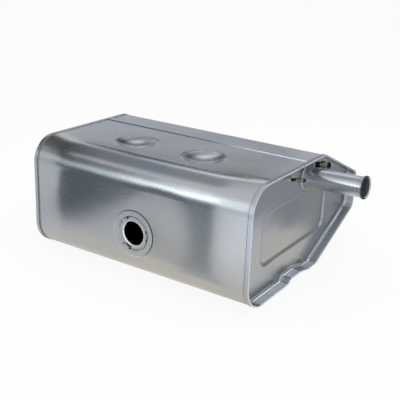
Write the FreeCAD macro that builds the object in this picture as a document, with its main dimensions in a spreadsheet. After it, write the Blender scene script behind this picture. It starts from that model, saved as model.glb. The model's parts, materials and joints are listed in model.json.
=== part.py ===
import FreeCAD, Part
import math
import os
import Sketcher

Vector = FreeCAD.Vector
doc = FreeCAD.newDocument("fuel_tank")
sheet = doc.addObject("Spreadsheet::Sheet", "sizes")

# Every driving dimension in millimetres, or degrees where the name says so.
# X runs along the tank, Y from its front face to its rear wall, Z up from its underside.
SIZES = [
    ("rim_length", 560, "over the two folded rims"),
    ("depth", 504, "front face to rear wall"),
    ("height", 256, "underside to top"),
    ("metal", 1.2, "sheet of the wrapper and end caps"),
    ("front_top_radius", 56, ""),
    ("front_bottom_radius", 62, ""),
    ("ridge_back", 313, "front face to the ridge where the top begins to fall"),
    ("ridge_radius", 12, ""),
    ("rear_wall_top", 172.5, "height of the corner over the rear wall"),
    ("rear_wall_bottom", 85, "height of the corner under the rear wall"),
    ("rear_corner_radius", 20, ""),
    ("heel_back", 313, "front face to the bend under the rear slope"),
    ("heel_radius", 25, ""),
    ("channel_front", 177.5, "front face to the channel across the underside"),
    ("channel_front_ramp", 12, ""),
    ("channel_floor", 45, ""),
    ("channel_rear_ramp", 40, ""),
    ("channel_depth", 8.3, ""),
    ("channel_radius", 13, ""),
    ("seat_back", 120, "front face to the origin, in the middle of the flat underside"),
    ("lap_back", 241, "front face to the edge of the lapped seam"),
    ("lap_width", 16, ""),
    ("lap_joggle", 6, "ramp behind the lap"),
    ("dish_back", 127.5, ""),
    ("dish_left", 91.5, "middle of the tank to the left dish"),
    ("dish_right", 84.5, "middle of the tank to the right dish"),
    ("dish_radius", 51, "out to where the dish leaves the flat top"),
    ("dish_depth", 11.5, ""),
    ("dish_roll", 11, "rounding over the dish edge"),
    ("cap_recess", 24, "rim end to the face of an end cap"),
    ("cap_foot_radius", 8, "inside corner between cap face and lip"),
    ("hem_width", 9, "fold of the cap lip over the wrapper"),
    ("hem_round", 1.6, ""),
    ("weld_gap", 0.04, "between parts that are welded together"),
    ("track_gap", 1.5, "hem to the shallow track of the seam weld"),
    ("track_width", 3.5, ""),
    ("track_depth", 0.35, ""),
    ("panel_front", 88, ""),
    ("panel_rear", 386, ""),
    ("panel_bottom", 62, ""),
    ("panel_drop", 77, "top of the tank to the top of the panel"),
    ("panel_radius", 24, ""),
    ("panel_depth", 4.5, ""),
    ("panel_bevel", 6, "width of the sloping border"),
    ("panel_bend_radius", 3, "inside of the bends along the border"),
    ("neck_back", 271, ""),
    ("neck_drop", 43.6, "top of the tank to the neck's middle"),
    ("neck_rise_deg", 3.2, ""),
    ("neck_lean_deg", 3.1, "towards the front"),
    ("neck_length", 137.5, "cap face to mouth"),
    ("neck_inside", 14, "stub inside the tank"),
    ("neck_radius", 22, ""),
    ("neck_wall", 1.6, ""),
    ("neck_bead", 2.8, "rolled end, proud of the tube"),
    ("neck_bead_width", 5.5, ""),
    ("neck_bead_round", 1.8, ""),
    ("neck_lip_round", 1.2, ""),
    ("neck_collar_gap", 0.7, ""),
    ("neck_collar_height", 6, ""),
    ("neck_collar_flare", 3.5, ""),
    ("front_nipple_back", 190, ""),
    ("front_nipple_drop", 28.5, "top of the tank to the nipple's foot"),
    ("front_nipple_rise_deg", 8, ""),
    ("front_nipple_boss_radius", 7.2, "welded foot"),
    ("front_nipple_boss_height", 5.5, ""),
    ("front_nipple_radius", 3.3, "stem"),
    ("front_nipple_bore_radius", 2.4, ""),
    ("front_nipple_grip", 0.5, "hose end, proud of the stem"),
    ("front_nipple_barb", 1.5, "barb, proud of the hose end"),
    ("front_nipple_barb_pitch", 6, ""),
    ("front_nipple_length", 35, "cap face to tip"),
    ("front_nipple_inside", 4, "stub inside the tank"),
    ("rear_nipple_back", 308, ""),
    ("rear_nipple_drop", 24.5, ""),
    ("rear_nipple_rise_deg", 8, ""),
    ("rear_nipple_boss_radius", 9.5, ""),
    ("rear_nipple_boss_height", 5, ""),
    ("rear_nipple_radius", 6.8, ""),
    ("rear_nipple_bore_radius", 5.6, ""),
    ("rear_nipple_grip", 0.8, ""),
    ("rear_nipple_barb", 1.8, ""),
    ("rear_nipple_barb_pitch", 6, ""),
    ("rear_nipple_length", 35, ""),
    ("rear_nipple_inside", 4, ""),
    ("nipple_hole_gap", 0.4, ""),
    ("sender_offset", 0.8, "middle of the tank to the sender axis"),
    ("sender_up", 102.3, ""),
    ("sender_ring_radius", 50.4, ""),
    ("sender_ring_metal", 1.5, ""),
    ("sender_bore_radius", 25.8, ""),
    ("sender_bead_height", 3.6, "low collar round the funnel"),
    ("sender_lip", 7, "ring's lip, down through the wrapper"),
    ("sender_hole_gap", 1.2, "between lip and wrapper hole"),
    ("lug_angle_deg", 5, "first of the three bayonet lugs"),
    ("lug_sweep_deg", 24, ""),
    ("lug_slot_deg", 7, "relief slot at each end of a lug"),
    ("lug_radius", 37, "outside of collar and lugs"),
    ("lug_reach", 5, "overhang towards the bore"),
    ("lug_height", 6, ""),
    ("baffle_place", 160, "middle of the tank to a baffle"),
    ("baffle_metal", 1.0, ""),
    ("baffle_flange", 16, ""),
    ("baffle_gap", 0.3, "between baffle and wrapper"),
    ("baffle_corner_margin", 5, "how far the corner passages go past the roundings"),
    ("baffle_hole_radius", 32, ""),
    ("baffle_hole_pitch", 118, ""),
    ("baffle_hole_back", 118, ""),
    ("baffle_hole_up", 130, ""),
]

ACROSS = FreeCAD.Rotation(0.5, 0.5, 0.5, 0.5)  # a sketch across the tank: x runs back, y up
UPRIGHT = FreeCAD.Rotation(Vector(1, 0, 0), 90)  # a sketch whose y runs up


class Rule:
    """A number kept together with the sheet formula that gives it."""

    def __init__(self, number, formula):
        self.number = number
        self.formula = formula

    def join(self, sign, other, number):
        text = other.formula if isinstance(other, Rule) else str(other)
        return Rule(number, "(%s %s %s)" % (self.formula, sign, text))

    def __add__(self, other):
        return self.join("+", other, self.number + plain(other))

    def __sub__(self, other):
        return self.join("-", other, self.number - plain(other))

    def __mul__(self, other):
        return self.join("*", other, self.number * plain(other))

    def __truediv__(self, other):
        return self.join("/", other, self.number / plain(other))

    def __neg__(self):
        return Rule(-self.number, "(-1 * %s)" % self.formula)


def plain(value):
    return value.number if isinstance(value, Rule) else float(value)


def size(alias):
    return Rule(float(sheet.get(alias)), "sizes." + alias)


def sine(angle):
    return Rule(math.sin(math.radians(angle.number)), "sin(%s)" % angle.formula)


def steepness(rise, run):
    """Angle of a slope from the direction of its rise."""
    angle = math.degrees(math.atan2(run.number, rise.number))
    return Rule(angle, "atan(%s / %s)" % (run.formula, rise.formula))


def bind(obj, **rules):
    """Ties each named property to its rule; two underscores in a name stand for a dot."""
    for name, rule in rules.items():
        path = name.replace("__", ".")
        obj.setExpression(path, rule.formula if isinstance(rule, Rule) else rule)


def fill_sheet():
    for row, (alias, value, note) in enumerate(SIZES, start=1):
        sheet.set("A%d" % row, alias)
        sheet.set("B%d" % row, str(value))
        sheet.setAlias("B%d" % row, alias)
        sheet.set("C%d" % row, note)
    doc.recompute()


def free_sketch(name):
    """A sketch whose x and y run along the tank's Y and Z."""
    sketch = doc.addObject("Sketcher::SketchObject", name)
    sketch.Placement = FreeCAD.Placement(Vector(0, 0, 0), ACROSS)
    return sketch


def body_sketch(body, name, role="XZ_Plane"):
    sketch = body.newObject("Sketcher::SketchObject", name)
    plane = [item for item in body.Origin.OriginFeatures if item.Role == role][0]
    sketch.AttachmentSupport = (plane, [""])
    sketch.MapMode = "FlatFace"
    return sketch


def hold(sketch, kind, name, rule, *where):
    """Adds a dimension and ties it to its rule."""
    number = sketch.addConstraint(Sketcher.Constraint(kind, *where, rule.number))
    sketch.renameConstraint(number, name)
    sketch.setExpression("Constraints." + name, rule.formula)


def hold_point(sketch, name, geometry, end, x, y):
    if x.number == 0:
        sketch.addConstraint(Sketcher.Constraint("PointOnObject", geometry, end, -2))
    else:
        hold(sketch, "DistanceX", name + "_x", x, -1, 1, geometry, end)
    if y.number == 0:
        sketch.addConstraint(Sketcher.Constraint("PointOnObject", geometry, end, -1))
    else:
        hold(sketch, "DistanceY", name + "_y", y, -1, 1, geometry, end)


def arc_between(centre, radius, start, end):
    """The shorter arc from start to end, and whether it runs anticlockwise."""
    first = math.atan2(start.y - centre.y, start.x - centre.x)
    last = math.atan2(end.y - centre.y, end.x - centre.x)
    forward = (last - first) % (2 * math.pi) < math.pi
    if not forward:
        first, last = last, first
    if last < first:
        last += 2 * math.pi
    return Part.ArcOfCircle(Part.Circle(centre, Vector(0, 0, 1), radius), first, last), forward


def round_corner(before, corner, after, radius):
    """Where a rounding leaves its two sides, and its centre."""
    back = (before - corner).normalize()
    ahead = (after - corner).normalize()
    half = back.getAngle(ahead) / 2
    reach = radius / math.tan(half)
    middle = (back + ahead).normalize() * (radius / math.sin(half))
    return corner + back * reach, corner + ahead * reach, corner + middle


def draw_outline(sketch, corners):
    """Closed outline through corners of (x, y, radius); a radius of None leaves one sharp."""
    count = len(corners)
    spots = [Vector(x.number, y.number, 0) for x, y, radius in corners]
    marks = [sketch.addGeometry(Part.Point(spot), True) for spot in spots]
    leave = list(spots)
    reach = list(spots)
    arcs = {}
    for i, (x, y, radius) in enumerate(corners):
        hold_point(sketch, "corner%d" % i, marks[i], 1, x, y)
        if radius is not None:
            sides = round_corner(spots[i - 1], spots[i], spots[(i + 1) % count], radius.number)
            reach[i], leave[i] = sides[0], sides[1]
            arc, forward = arc_between(sides[2], radius.number, reach[i], leave[i])
            arcs[i] = (sketch.addGeometry(arc), forward)
    sides = []
    for i in range(count):
        sides.append(sketch.addGeometry(Part.LineSegment(leave[i], reach[(i + 1) % count])))
        for mark, end in ((i, 1), ((i + 1) % count, 2)):
            if mark in arcs:
                rule = Sketcher.Constraint("PointOnObject", marks[mark], 1, sides[i])
            else:
                rule = Sketcher.Constraint("Coincident", sides[i], end, marks[mark], 1)
            sketch.addConstraint(rule)
    for i, (arc, forward) in arcs.items():
        enter, leave_end = (1, 2) if forward else (2, 1)
        sketch.addConstraint(Sketcher.Constraint("Tangent", sides[i - 1], 2, arc, enter))
        sketch.addConstraint(Sketcher.Constraint("Tangent", arc, leave_end, sides[i], 1))
        hold(sketch, "Radius", "round%d" % i, corners[i][2], arc)
    doc.recompute()
    return sketch


def offset(name, outline, distance):
    ring = doc.addObject("Part::Offset2D", name)
    ring.Source = outline
    ring.Value = distance.number
    bind(ring, Value=distance)
    return ring


def extrude(name, outline, start, end, taper=None):
    """Solid along X from start to end; a taper draws it in as it goes."""
    solid = doc.addObject("Part::Extrusion", name)
    solid.Base = outline
    solid.DirMode = "Custom"
    solid.Dir = Vector(1, 0, 0)
    solid.Solid = True
    bind(solid, LengthFwd=end - start, Placement__Base__x=start)
    if taper is not None:
        bind(solid, TaperAngle=taper)
    doc.recompute()
    return solid


def cut(name, base, tool):
    result = doc.addObject("Part::Cut", name)
    result.Base = base
    result.Tool = tool
    doc.recompute()
    return result


def join(name, *shapes):
    result = doc.addObject("Part::MultiFuse", name)
    result.Shapes = list(shapes)
    doc.recompute()
    return result


def drill(name, radius, start, end, back, up):
    """Round tool along X."""
    tool = doc.addObject("Part::Cylinder", name)
    bind(tool, Radius=radius, Height=end - start,
         Placement="placement(vector(%s; %s; %s); rotation(0; 90; 0))"
         % (start.formula, back.formula, up.formula))
    return tool


def soften(name, base, picks, radius):
    """Rounds the picked edges, given by their numbers in the base."""
    result = doc.addObject("Part::Fillet", name)
    result.Base = base
    result.Edges = [(pick, radius.number, radius.number) for pick in picks]
    doc.recompute()
    return result


def edges_at(solid, place, border=None):
    """Numbers of the edges in the plane X = place, or of those near a border (y, z, y, z)."""
    picks = []
    for i, edge in enumerate(solid.Shape.Edges, start=1):
        flat = all(abs(corner.X - place.number) < 1e-3 for corner in edge.Vertexes)
        if flat and (border is None or all(
                border[0] < corner.Y < border[2] and border[1] < corner.Z < border[3]
                for corner in edge.Vertexes)):
            picks.append(i)
    return picks


def seat(solid, label):
    """Moves a finished piece so that the origin is in the middle of the flat underside."""
    solid.Label = label
    bind(solid, Placement__Base__y=-size("seat_back"))
    return solid


def spin(body, sketch, name):
    """Turns a profile once round the body's Z axis."""
    turned = body.newObject("PartDesign::Revolution", name)
    turned.Profile = sketch
    turned.ReferenceAxis = (sketch, ["V_Axis"])
    turned.Angle = 360
    doc.recompute()
    return turned


def wrapper_outline():
    """Cross-section over the wrapped sheet, from the front foot backwards and round."""
    zero = Rule(0, "0")
    ramp = size("channel_front") + size("channel_front_ramp")
    floor = ramp + size("channel_floor")
    soft = size("channel_radius")
    corners = [
        (zero, zero, size("front_bottom_radius")),
        (size("channel_front"), zero, soft),
        (ramp, size("channel_depth"), soft),
        (floor, size("channel_depth"), soft),
        (floor + size("channel_rear_ramp"), zero, soft),
        (size("heel_back"), zero, size("heel_radius")),
        (size("depth"), size("rear_wall_bottom"), size("rear_corner_radius")),
        (size("depth"), size("rear_wall_top"), size("rear_corner_radius")),
        (size("ridge_back"), size("height"), size("ridge_radius")),
        (zero, size("height"), size("front_top_radius")),
    ]
    return draw_outline(free_sketch("wrapper_outline"), corners)


def dish_tool(name, across, level):
    """Round tool for a pressed dish; level is its flat top's height over the tank's top."""
    sketch = doc.addObject("Sketcher::SketchObject", name + "_profile")
    sketch.Placement = FreeCAD.Placement(Vector(0, 0, 0), UPRIGHT)
    radius = size("dish_radius")
    roll = size("dish_roll") + level
    floor = level - size("dish_depth")
    cover = level + size("dish_depth")
    both = (plain(radius) ** 2 + plain(size("dish_depth")) ** 2) / (2 * plain(size("dish_depth")))
    bowl = both - roll.number
    slope = math.asin(radius.number / both)
    bowl_arc = Part.ArcOfCircle(
        Part.Circle(Vector(0, floor.number + bowl, 0), Vector(0, 0, 1), bowl),
        1.5 * math.pi, 1.5 * math.pi + slope)
    roll_arc = Part.ArcOfCircle(
        Part.Circle(Vector(radius.number, level.number - roll.number, 0), Vector(0, 0, 1), roll.number),
        0.5 * math.pi, 0.5 * math.pi + slope)
    bowl_side = sketch.addGeometry(bowl_arc)
    roll_side = sketch.addGeometry(roll_arc)
    edge = Vector(radius.number, level.number, 0)
    rim = Vector(radius.number, cover.number, 0)
    top = Vector(0, cover.number, 0)
    wall = sketch.addGeometry(Part.LineSegment(edge, rim))
    lid = sketch.addGeometry(Part.LineSegment(rim, top))
    middle = sketch.addGeometry(Part.LineSegment(top, Vector(0, floor.number, 0)))
    hold_point(sketch, "edge", roll_side, 1, radius, level)
    hold(sketch, "Radius", "roll", roll, roll_side)
    hold(sketch, "DistanceX", "roll_centre", radius, -1, 1, roll_side, 3)
    hold_point(sketch, "floor", bowl_side, 1, Rule(0, "0"), floor)
    sketch.addConstraint(Sketcher.Constraint("PointOnObject", bowl_side, 3, -2))
    sketch.addConstraint(Sketcher.Constraint("Tangent", bowl_side, 2, roll_side, 2))
    sketch.addConstraint(Sketcher.Constraint("Coincident", wall, 1, roll_side, 1))
    hold_point(sketch, "rim", wall, 2, radius, cover)
    sketch.addConstraint(Sketcher.Constraint("Coincident", lid, 1, wall, 2))
    hold_point(sketch, "top", lid, 2, Rule(0, "0"), cover)
    sketch.addConstraint(Sketcher.Constraint("Coincident", middle, 1, lid, 2))
    sketch.addConstraint(Sketcher.Constraint("Coincident", middle, 2, bowl_side, 1))
    tool = doc.addObject("Part::Revolution", name)
    tool.Source = sketch
    tool.Axis = Vector(0, 0, 1)
    tool.Angle = 360
    tool.Solid = True
    bind(tool, Placement__Base__x=across, Placement__Base__y=size("dish_back"),
         Placement__Base__z=size("height"))
    doc.recompute()
    return tool


def press_dishes(name, solid, level):
    for side, across in (("left", -size("dish_left")), ("right", size("dish_right"))):
        tool = dish_tool("%s_%s_dish" % (name, side), across, level)
        solid = cut("%s_pressed_%s" % (name, side), solid, tool)
    return solid


def press_weld_tracks(solid, outline):
    """Shallow track round each end, where the wrapper is seam-welded to the cap's lip."""
    cover = offset("track_cover_outline", outline, size("metal"))
    floor = offset("track_floor_outline", outline, -size("track_depth"))
    end = size("rim_length") / 2 - size("hem_width") - size("track_gap")
    start = end - size("track_width")
    for side, low, high in (("left", -end, -start), ("right", start, end)):
        tool = cut("track_tool_" + side, extrude("track_cover_" + side, cover, low, high),
                   extrude("track_floor_" + side, floor, low, high))
        solid = cut("wrapper_track_" + side, solid, tool)
    return solid


def lapped_seam():
    """Doubled strip along the top where the sheet's two ends meet."""
    start = size("lap_back")
    end = start + size("lap_width")
    foot = size("height") - size("metal") / 2
    top = size("height") + size("metal")
    corners = [
        (start, foot, None),
        (end + size("lap_joggle"), foot, None),
        (end + size("lap_joggle"), size("height"), None),
        (end, top, None),
        (start, top, None),
    ]
    outline = draw_outline(free_sketch("lap_outline"), corners)
    reach = size("rim_length") / 2 - size("hem_width") - size("weld_gap")
    return extrude("lap", outline, -reach, reach)


def build_tank_body(outline):
    edge = size("rim_length") / 2 - size("metal") - size("weld_gap")
    outside = press_dishes("wrapper", extrude("wrapper_outside", outline, -edge, edge), Rule(0, "0"))
    outside = press_weld_tracks(outside, outline)
    outside = join("wrapper_lapped", outside, lapped_seam())
    inner = offset("wrapper_inner_outline", outline, -size("metal"))
    hollow = extrude("wrapper_hollow", inner, -edge - size("metal"), edge + size("metal"))
    hollow = press_dishes("hollow", hollow, -size("metal"))
    wrapper = cut("wrapper", outside, hollow)
    hole = doc.addObject("Part::Cylinder", "sender_hole")
    bind(hole,
         Radius=size("sender_bore_radius") + size("sender_ring_metal") + size("sender_hole_gap"),
         Height=size("metal") * 3,
         Placement="placement(vector(sizes.sender_offset; -1 * sizes.metal; sizes.sender_up);"
                   " rotation(0; 0; -90))")
    return seat(cut("wrapper_pierced", wrapper, hole), "tank_body")


def panel_tool(name, outline, start):
    """Tapered tool for the pressed panel, from its wide border inwards."""
    tool = extrude(name, outline, start, start + size("panel_depth"),
                   -steepness(size("panel_depth"), size("panel_bevel")))
    tool.Dir = Vector(-1, 0, 0)
    doc.recompute()
    return tool


def bend_panel_border(shell, face, back):
    """Rounds the four bends of the panel's border, each on both sides of the sheet."""
    reach = size("metal").number
    top = size("height") - size("panel_drop")
    border = (size("panel_front").number - reach, size("panel_bottom").number - reach,
              size("panel_rear").number + reach, top.number + reach)
    tight = size("panel_bend_radius")
    wide = tight + size("metal")
    depth = size("panel_depth")
    for name, place, radius in (("top", face, wide), ("floor", face - depth, tight),
                                ("top_back", back, tight), ("floor_back", back - depth, wide)):
        shell = soften("panel_bend_" + name, shell, edges_at(shell, place, border), radius)
    return shell


def build_cap_blank(outline):
    """Right-hand end cap before it is pierced."""
    end = size("rim_length") / 2
    face = end - size("cap_recess")
    back = face - size("metal")
    lip = offset("lip_outline", outline, -size("metal") - size("weld_gap"))
    recess = offset("recess_outline", outline, -size("metal") * 2 - size("weld_gap"))
    fold = offset("fold_outline", outline, size("metal") + size("weld_gap"))
    slot = offset("slot_outline", outline, size("weld_gap"))
    tray = extrude("cap_tray", lip, back, end)
    tray = soften("cap_tray_soft", tray, edges_at(tray, back), size("cap_foot_radius") + size("metal"))
    recess = extrude("cap_recess_tool", recess, face, end + size("metal"))
    recess = soften("cap_recess_soft", recess, edges_at(recess, face), size("cap_foot_radius"))
    hem = extrude("cap_hem", fold, end - size("hem_width"), end)
    room = extrude("cap_hem_room", slot, end - size("hem_width") - size("metal"), end - size("metal"))
    shell = cut("cap_hollow", join("cap_whole", cut("cap_hem_ring", hem, room), tray), recess)
    top = size("height") - size("panel_drop")
    border = [(size("panel_front"), size("panel_bottom")), (size("panel_rear"), size("panel_bottom")),
              (size("panel_rear"), top), (size("panel_front"), top)]
    corners = [(back_place, up, size("panel_radius")) for back_place, up in border]
    panel = draw_outline(free_sketch("panel_outline"), corners)
    bend = steepness(size("panel_bevel"), size("panel_depth")) / 2
    spread = size("metal") * Rule(math.tan(math.radians(bend.number)), "tan(%s)" % bend.formula)
    wide = offset("panel_back_outline", panel, spread)
    shell = join("cap_bulged", shell, panel_tool("panel_bulge", wide, back))
    shell = cut("cap_panelled", shell, panel_tool("panel_recess", panel, face))
    shell = soften("cap_rounded", shell, edges_at(shell, end), size("hem_round"))
    return bend_panel_border(shell, face, back)


def build_end_cap_left(blank):
    left = doc.addObject("Part::Mirroring", "cap_mirrored")
    left.Source = blank
    left.Normal = Vector(1, 0, 0)
    doc.recompute()
    return seat(left, "end_cap_left")


def neck_collar():
    """Collar drawn out of the cap round the filler neck."""
    inside = size("neck_radius") + size("neck_collar_gap")
    outside = inside + size("metal")
    foot = outside + size("neck_collar_flare") + size("metal")
    zero = Rule(0, "0")
    corners = [
        (inside, -size("metal"), None),
        (foot, -size("metal"), None),
        (foot, zero, None),
        (outside, zero, size("neck_collar_flare")),
        (outside, size("neck_collar_height"), None),
        (inside, size("neck_collar_height"), None),
    ]
    sketch = doc.addObject("Sketcher::SketchObject", "neck_collar_profile")
    sketch.Placement = FreeCAD.Placement(Vector(0, 0, 0), UPRIGHT)
    draw_outline(sketch, corners)
    collar = doc.addObject("Part::Revolution", "neck_collar")
    collar.Source = sketch
    collar.Axis = Vector(0, 0, 1)
    collar.Angle = 360
    collar.Solid = True
    face = size("rim_length") / 2 - size("cap_recess")
    bind(collar, Placement="placement(vector(%s; sizes.neck_back; sizes.height - sizes.neck_drop);"
                           " rotation(0; 90; 0))" % face.formula)
    doc.recompute()
    return collar


def build_end_cap_right(blank):
    face = size("rim_length") / 2 - size("cap_recess")
    start = face - size("metal") * 2
    cap = join("cap_collared", blank, neck_collar())
    tool = drill("neck_hole", size("neck_radius") + size("neck_collar_gap"), start,
                 face + size("neck_collar_height") + size("metal"), size("neck_back"),
                 size("height") - size("neck_drop"))
    cap = cut("cap_neck_hole", cap, tool)
    for end in ("front", "rear"):
        name = end + "_nipple"
        tool = drill(name + "_hole", size(name + "_radius") + size("nipple_hole_gap"), start,
                     face + size("metal"), size(name + "_back"), size("height") - size(name + "_drop"))
        cap = cut("cap_%s_hole" % name, cap, tool)
    return seat(cap, "end_cap_right")


def place_on_cap(body, name):
    """Stands a turned part's axis on the right cap's face, with its rise and lean."""
    face = size("rim_length") / 2 - size("cap_recess")
    lean = "sizes.%s_lean_deg" % name if name == "neck" else "0"
    body.setExpression(
        "Placement",
        "placement(vector(%s; sizes.%s_back - sizes.seat_back; sizes.height - sizes.%s_drop);"
        " rotation(-1 * %s; 90 - sizes.%s_rise_deg; 0))" % (face.formula, name, name, lean, name))


def build_filler_neck():
    body = doc.addObject("PartDesign::Body", "filler_neck")
    outside = size("neck_radius")
    inside = outside - size("neck_wall")
    bead = outside + size("neck_bead")
    mouth = size("neck_length")
    behind = mouth - size("neck_bead_width")
    corners = [
        (inside, -size("neck_inside"), None),
        (outside, -size("neck_inside"), None),
        (outside, behind, None),
        (bead, behind, size("neck_bead_round")),
        (bead, mouth, size("neck_bead_round")),
        (inside, mouth, size("neck_lip_round")),
    ]
    spin(body, draw_outline(body_sketch(body, "neck_profile"), corners), "neck_turned")
    place_on_cap(body, "neck")
    return body


def build_nipple(end):
    """Ribbed hose nipple: stub through the cap, welded foot, stem and three barbs."""
    name = end + "_nipple"
    body = doc.addObject("PartDesign::Body", "vent_nipple_" + end)
    bore = size(name + "_bore_radius")
    stem = size(name + "_radius")
    foot = size(name + "_boss_radius")
    grip = stem + size(name + "_grip")
    barb = grip + size(name + "_barb")
    under = foot * sine(size(name + "_rise_deg")) + size("weld_gap")
    over = under + size(name + "_boss_height")
    tip = size(name + "_length")
    corners = [
        (bore, -size(name + "_inside"), None),
        (stem, -size(name + "_inside"), None),
        (stem, under, None),
        (foot, under, None),
        (foot, over, None),
        (stem, over, None),
    ]
    for step, shank in ((3, stem), (2, grip), (1, grip)):
        foot_of_barb = tip - size(name + "_barb_pitch") * step
        corners.append((shank, foot_of_barb, None))
        corners.append((barb, foot_of_barb, None))
    corners.append((grip, tip, None))
    corners.append((bore, tip, None))
    spin(body, draw_outline(body_sketch(body, name + "_profile"), corners), name + "_turned")
    place_on_cap(body, name)
    return body


def build_sender_ring():
    """Bayonet seat: flat ring, low collar, funnel and lip, with three lugs and their slots."""
    body = doc.addObject("PartDesign::Body", "sender_ring")
    metal = size("sender_ring_metal")
    bore = size("sender_bore_radius")
    rim = size("sender_ring_radius")
    collar = size("lug_radius")
    zero = Rule(0, "0")
    corners = [
        (rim, zero, None),
        (rim, metal, metal / 3),
        (collar + metal / 2, metal, None),
        (collar, size("sender_bead_height"), metal / 3),
        (collar - metal, size("sender_bead_height"), None),
        (collar - metal * 2, metal * 0.6, None),
        (bore + metal, metal * 0.4, None),
        (bore, -metal, metal / 2),
        (bore, -size("sender_lip"), None),
        (bore + metal, -size("sender_lip"), None),
        (bore + metal, zero, None),
    ]
    spin(body, draw_outline(body_sketch(body, "ring_profile"), corners), "ring_turned")
    lug_profile = draw_outline(body_sketch(body, "lug_profile"), [
        (collar, metal / 2, None),
        (collar, size("lug_height"), metal / 2),
        (collar - size("lug_reach"), size("lug_height"), None),
        (collar - size("lug_reach"), size("lug_height") - metal, None),
        (collar - metal, size("lug_height") - metal, None),
        (collar - metal, metal / 2, None),
    ])
    lug = body.newObject("PartDesign::Revolution", "lug")
    lug.Profile = lug_profile
    lug.ReferenceAxis = (lug_profile, ["V_Axis"])
    lug.Midplane = True
    bind(lug, Angle=size("lug_sweep_deg"))
    doc.recompute()
    parts = [lug]
    for side, sign in (("left", "-1"), ("right", "1")):
        sketch = body_sketch(body, "slot_profile_" + side)
        sketch.setExpression(
            "AttachmentOffset",
            "placement(vector(0; 0; 0); rotation(vector(0; 1; 0); %s * (sizes.lug_sweep_deg"
            " + sizes.lug_slot_deg) / 2))" % sign)
        draw_outline(sketch, [
            (collar - metal * 1.8, -metal, None),
            (collar + metal * 0.8, -metal, None),
            (collar + metal * 0.8, size("lug_height") + metal, None),
            (collar - metal * 1.8, size("lug_height") + metal, None),
        ])
        slot = body.newObject("PartDesign::Groove", "lug_slot_" + side)
        slot.Profile = sketch
        slot.ReferenceAxis = (sketch, ["V_Axis"])
        slot.Midplane = True
        bind(slot, Angle=size("lug_slot_deg"))
        doc.recompute()
        parts.append(slot)
    pattern = body.newObject("PartDesign::PolarPattern", "lugs")
    pattern.Originals = parts
    pattern.Axis = (lug_profile, ["V_Axis"])
    pattern.Angle = 360
    pattern.Occurrences = 3
    body.Tip = pattern
    doc.recompute()
    body.setExpression(
        "Placement",
        "placement(vector(sizes.sender_offset; -1 * sizes.seat_back; sizes.sender_up);"
        " rotation(0; -1 * sizes.lug_angle_deg; 90))")
    return body


def corner_cutter(name, back, up, radius):
    """Round tool that leaves a fuel passage at a corner of a baffle."""
    return drill(name, radius, Rule(0, "0"), size("baffle_flange") + size("baffle_metal"), back, up)


def build_baffle_blank(outline):
    """Baffle that stands at X = 0 with its flanges towards +X."""
    reach = size("metal") + size("baffle_gap")
    zero = Rule(0, "0")
    over = offset("baffle_outline", outline, -reach)
    under = offset("baffle_inner_outline", outline, -reach - size("baffle_metal"))
    block = extrude("baffle_block", over, zero, size("baffle_flange"))
    room = extrude("baffle_room", under, size("baffle_metal"), size("baffle_flange") * 2)
    plate = cut("baffle_tray", block, room)
    margin = size("baffle_corner_margin")
    tools = [
        corner_cutter("cut_front_top", zero, size("height"), size("front_top_radius") + margin),
        corner_cutter("cut_front_foot", zero, zero, size("front_bottom_radius") + margin),
        corner_cutter("cut_rear_top", size("depth"), size("rear_wall_top"),
                      size("rear_corner_radius") + margin),
        corner_cutter("cut_rear_foot", size("depth"), size("rear_wall_bottom"),
                      size("rear_corner_radius") + margin),
        corner_cutter("cut_ridge", size("ridge_back"), size("height"), size("ridge_radius") + margin),
    ]
    for number in range(3):
        back = size("baffle_hole_back") + size("baffle_hole_pitch") * number
        tools.append(corner_cutter("baffle_hole_%d" % number, back, size("baffle_hole_up"),
                                   size("baffle_hole_radius")))
    channel = doc.addObject("Part::Box", "cut_channel")
    bind(channel, Length=size("baffle_flange") + size("baffle_metal"),
         Width=size("heel_back") - size("channel_front") + margin * 2,
         Height=size("channel_depth") + margin * 2,
         Placement__Base__y=size("channel_front") - margin)
    tools.append(channel)
    return cut("baffle_blank", plate, join("baffle_cutters", *tools))


def build_baffles(outline):
    blank = build_baffle_blank(outline)
    right = doc.addObject("Part::Compound", "baffle_copy")
    right.Links = [blank]
    bind(right, Placement__Base__x=size("baffle_place"))
    left = doc.addObject("Part::Mirroring", "baffle_mirrored")
    left.Source = blank
    left.Normal = Vector(1, 0, 0)
    bind(left, Placement__Base__x=-size("baffle_place"))
    doc.recompute()
    return [seat(right, "baffle_right"), seat(left, "baffle_left")]


def write_parts(parts):
    """Stops on any failed object, then writes one STEP file for each part."""
    doc.recompute()
    for obj in doc.Objects:
        if "Invalid" in obj.State or "Error" in obj.State:
            raise RuntimeError("failed object: " + obj.Name)
    for part in parts:
        if part.Shape.isNull() or not part.Shape.isValid():
            raise RuntimeError("bad shape: " + part.Label)
    os.makedirs("parts", exist_ok=True)
    for part in parts:
        part.Shape.exportStep("parts/%s.step" % part.Label)
        print(part.Label, round(part.Shape.Volume), part.Shape.BoundBox)


fill_sheet()
master = wrapper_outline()
tank_body = build_tank_body(master)
cap_blank = build_cap_blank(master)
write_parts([
    tank_body,
    build_end_cap_left(cap_blank),
    build_end_cap_right(cap_blank),
    build_filler_neck(),
    build_nipple("front"),
    build_nipple("rear"),
    build_sender_ring(),
    *build_baffles(master),
])
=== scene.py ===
import bpy
import bmesh
import json
import math
from mathutils import Matrix, Quaternion, Vector


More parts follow.
